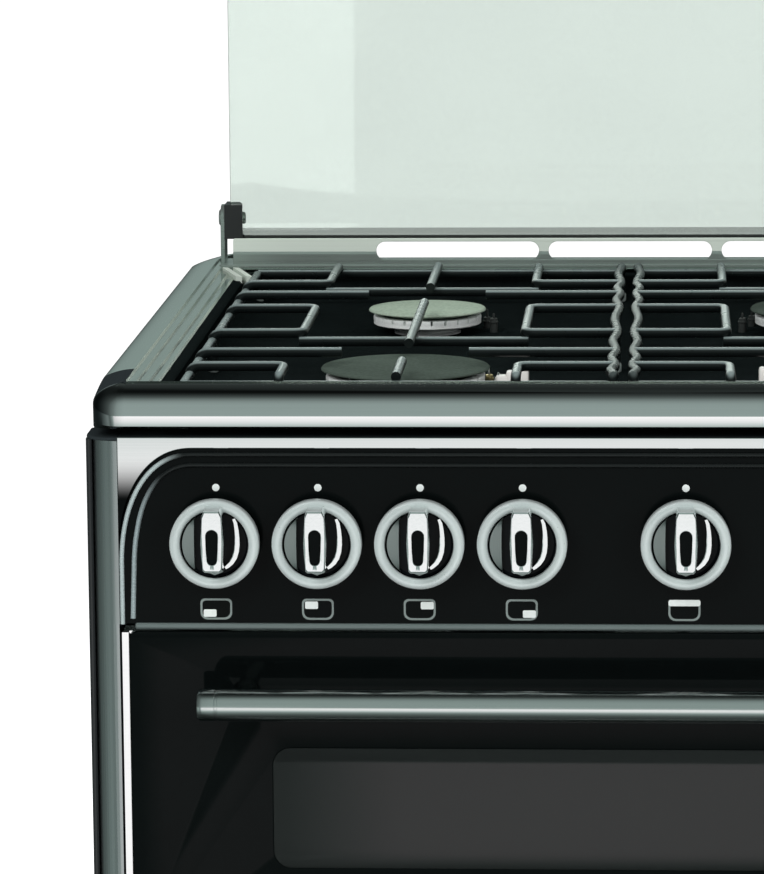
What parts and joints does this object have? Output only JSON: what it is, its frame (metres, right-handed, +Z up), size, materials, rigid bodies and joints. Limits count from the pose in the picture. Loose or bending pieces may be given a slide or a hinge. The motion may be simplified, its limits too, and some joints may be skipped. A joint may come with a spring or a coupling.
{
  "type": "freestanding gas cooker",
  "caption": "Freestanding gas cooker with round burners under wire pan supports, a raised glass lid, turning knobs, and two ovens with drop-down doors.",
  "frame": {"origin": "on the floor, at the middle of the overall width and depth", "axes": "+X to the right seen from the front, +Y to the rear, +Z up"},
  "size_m": [0.6, 0.645, 1.444],
  "materials": {
    "black_enamel": "gloss vitreous enamel",
    "zinc_sheet": "galvanised sheet",
    "rubber_foot": "matt",
    "brushed_steel": "fine brushed",
    "black_gloss": "high gloss",
    "satin_chrome": "satin with polished edges",
    "cast_black": "satin enamel on steel rod",
    "burner_alloy": "fine cast",
    "cap_enamel": "satin enamel",
    "ceramic": "glazed",
    "brass": "machined",
    "nylon": "matt",
    "chrome": "polished",
    "zinc_steel": "turned",
    "oven_enamel": "speckled gloss enamel",
    "burner_steel": "plain",
    "seal_cord": "braided glass cord",
    "black_glass": "black printed glass",
    "clear_glass": "clear",
    "tinted_glass": "tinted"
  },
  "bodies": {
    "cabinet": {"side_panel_left": "black_enamel", "side_panel_right": "black_enamel", "back_panel": "zinc_sheet", "base_tray": "zinc_sheet", "plinth": "black_enamel", "front_frame": "brushed_steel", "control_panel": "black_gloss", "clock_module": "black_gloss", "hob_surround": "brushed_steel", "hob_well": "black_enamel", "rear_vent_trim": "brushed_steel", "burner_heads": "burner_alloy", "burner_caps": "cap_enamel", "injector_cups": "burner_alloy", "spark_electrodes": "ceramic", "flame_sensors": "brass", "gas_rail": "zinc_sheet", "gas_taps": "brass", "feed_pipes": "burner_alloy", "cable_gland": "nylon", "screws": "chrome", "top_oven_cavity": "oven_enamel", "main_oven_cavity": "oven_enamel", "grill_burner": "burner_steel", "oven_burner": "burner_steel", "grill_pan": "oven_enamel", "oven_shelves": "chrome", "shelf_runners": "chrome", "door_hinges": "zinc_sheet", "door_seals": "seal_cord"},
    "lid": {"lid_glass": "tinted_glass", "lid_hinge_blocks": "nylon"},
    "top_door": {"top_door_panel": "black_glass", "top_door_liner": "brushed_steel", "top_door_glass": "clear_glass", "top_door_handle": "satin_chrome"},
    "main_door": {"main_door_panel": "black_glass", "main_door_liner": "brushed_steel", "main_door_glass": "clear_glass", "main_door_handle": "satin_chrome"},
    "support_left": {"pan_support_left": "cast_black"},
    "support_right": {"pan_support_right": "cast_black"},
    "spark_button": {"ignition_button": "satin_chrome"},
    "lamp_button": {"light_button": "satin_chrome"},
    "tap_spindle_1": {"spindle_1": "zinc_steel"},
    "control_knob_1": {"knob_1": "satin_chrome"},
    "tap_spindle_2": {"spindle_2": "zinc_steel"},
    "control_knob_2": {"knob_2": "satin_chrome"},
    "tap_spindle_3": {"spindle_3": "zinc_steel"},
    "control_knob_3": {"knob_3": "satin_chrome"},
    "tap_spindle_4": {"spindle_4": "zinc_steel"},
    "control_knob_4": {"knob_4": "satin_chrome"},
    "tap_spindle_5": {"spindle_5": "zinc_steel"},
    "control_knob_5": {"knob_5": "satin_chrome"},
    "tap_spindle_6": {"spindle_6": "zinc_steel"},
    "control_knob_6": {"knob_6": "satin_chrome"},
    "leveller_front_left": {"foot_front_left": "rubber_foot"},
    "leveller_front_right": {"foot_front_right": "rubber_foot"},
    "leveller_rear_left": {"foot_rear_left": "rubber_foot"},
    "leveller_rear_right": {"foot_rear_right": "rubber_foot"}
  },
  "joints": [
    {"name": "lid_hinge", "type": "hinge", "parent": "cabinet", "child": "lid", "pos_m": [0, 0.2815, 0.9257], "axis": [-1, 0, 0], "range_deg": [-90, 0]},
    {"name": "top_door_hinge", "type": "hinge", "parent": "cabinet", "child": "top_door", "pos_m": [0, -0.2715, 0.579], "axis": [1, 0, 0], "range_deg": [0, 90]},
    {"name": "main_door_hinge", "type": "hinge", "parent": "cabinet", "child": "main_door", "pos_m": [0, -0.2715, 0.145], "axis": [1, 0, 0], "range_deg": [0, 90]},
    {"name": "knob_1_turn", "type": "hinge", "parent": "cabinet", "child": "tap_spindle_1", "pos_m": [-0.2265, -0.276, 0.809], "axis": [0, -1, 0], "range_deg": [0, 210]},
    {"name": "knob_1_push", "type": "slide", "parent": "tap_spindle_1", "child": "control_knob_1", "axis": [0, 1, 0], "range_m": [0, 0.0035], "stiffness_N_per_m": 600},
    {"name": "knob_2_turn", "type": "hinge", "parent": "cabinet", "child": "tap_spindle_2", "pos_m": [-0.1695, -0.276, 0.809], "axis": [0, -1, 0], "range_deg": [0, 210]},
    {"name": "knob_2_push", "type": "slide", "parent": "tap_spindle_2", "child": "control_knob_2", "axis": [0, 1, 0], "range_m": [0, 0.0035], "stiffness_N_per_m": 600},
    {"name": "knob_3_turn", "type": "hinge", "parent": "cabinet", "child": "tap_spindle_3", "pos_m": [-0.1125, -0.276, 0.809], "axis": [0, -1, 0], "range_deg": [0, 210]},
    {"name": "knob_3_push", "type": "slide", "parent": "tap_spindle_3", "child": "control_knob_3", "axis": [0, 1, 0], "range_m": [0, 0.0035], "stiffness_N_per_m": 600},
    {"name": "knob_4_turn", "type": "hinge", "parent": "cabinet", "child": "tap_spindle_4", "pos_m": [-0.0555, -0.276, 0.809], "axis": [0, -1, 0], "range_deg": [0, 210]},
    {"name": "knob_4_push", "type": "slide", "parent": "tap_spindle_4", "child": "control_knob_4", "axis": [0, 1, 0], "range_m": [0, 0.0035], "stiffness_N_per_m": 600},
    {"name": "knob_5_turn", "type": "hinge", "parent": "cabinet", "child": "tap_spindle_5", "pos_m": [0.035, -0.276, 0.809], "axis": [0, -1, 0], "range_deg": [0, 270]},
    {"name": "knob_5_push", "type": "slide", "parent": "tap_spindle_5", "child": "control_knob_5", "axis": [0, 1, 0], "range_m": [0, 0.0035], "stiffness_N_per_m": 600},
    {"name": "knob_6_turn", "type": "hinge", "parent": "cabinet", "child": "tap_spindle_6", "pos_m": [0.2265, -0.276, 0.809], "axis": [0, -1, 0], "range_deg": [0, 270]},
    {"name": "knob_6_push", "type": "slide", "parent": "tap_spindle_6", "child": "control_knob_6", "axis": [0, 1, 0], "range_m": [0, 0.0035], "stiffness_N_per_m": 600},
    {"name": "ignition_button_push", "type": "slide", "parent": "cabinet", "child": "spark_button", "axis": [0, 1, 0], "range_m": [0, 0.0025], "stiffness_N_per_m": 400},
    {"name": "light_button_push", "type": "slide", "parent": "cabinet", "child": "lamp_button", "axis": [0, 1, 0], "range_m": [0, 0.0025], "stiffness_N_per_m": 400},
    {"name": "pan_support_left_lift", "type": "slide", "parent": "cabinet", "child": "support_left", "axis": [0, 0, 1], "range_m": [0, 0.06]},
    {"name": "pan_support_right_lift", "type": "slide", "parent": "cabinet", "child": "support_right", "axis": [0, 0, 1], "range_m": [0, 0.06]},
    {"name": "foot_front_left_level", "type": "slide", "parent": "cabinet", "child": "leveller_front_left", "axis": [0, 0, 1], "range_m": [0, 0.015]},
    {"name": "foot_front_right_level", "type": "slide", "parent": "cabinet", "child": "leveller_front_right", "axis": [0, 0, 1], "range_m": [0, 0.015]},
    {"name": "foot_rear_left_level", "type": "slide", "parent": "cabinet", "child": "leveller_rear_left", "axis": [0, 0, 1], "range_m": [0, 0.015]},
    {"name": "foot_rear_right_level", "type": "slide", "parent": "cabinet", "child": "leveller_rear_right", "axis": [0, 0, 1], "range_m": [0, 0.015]}
  ]
}
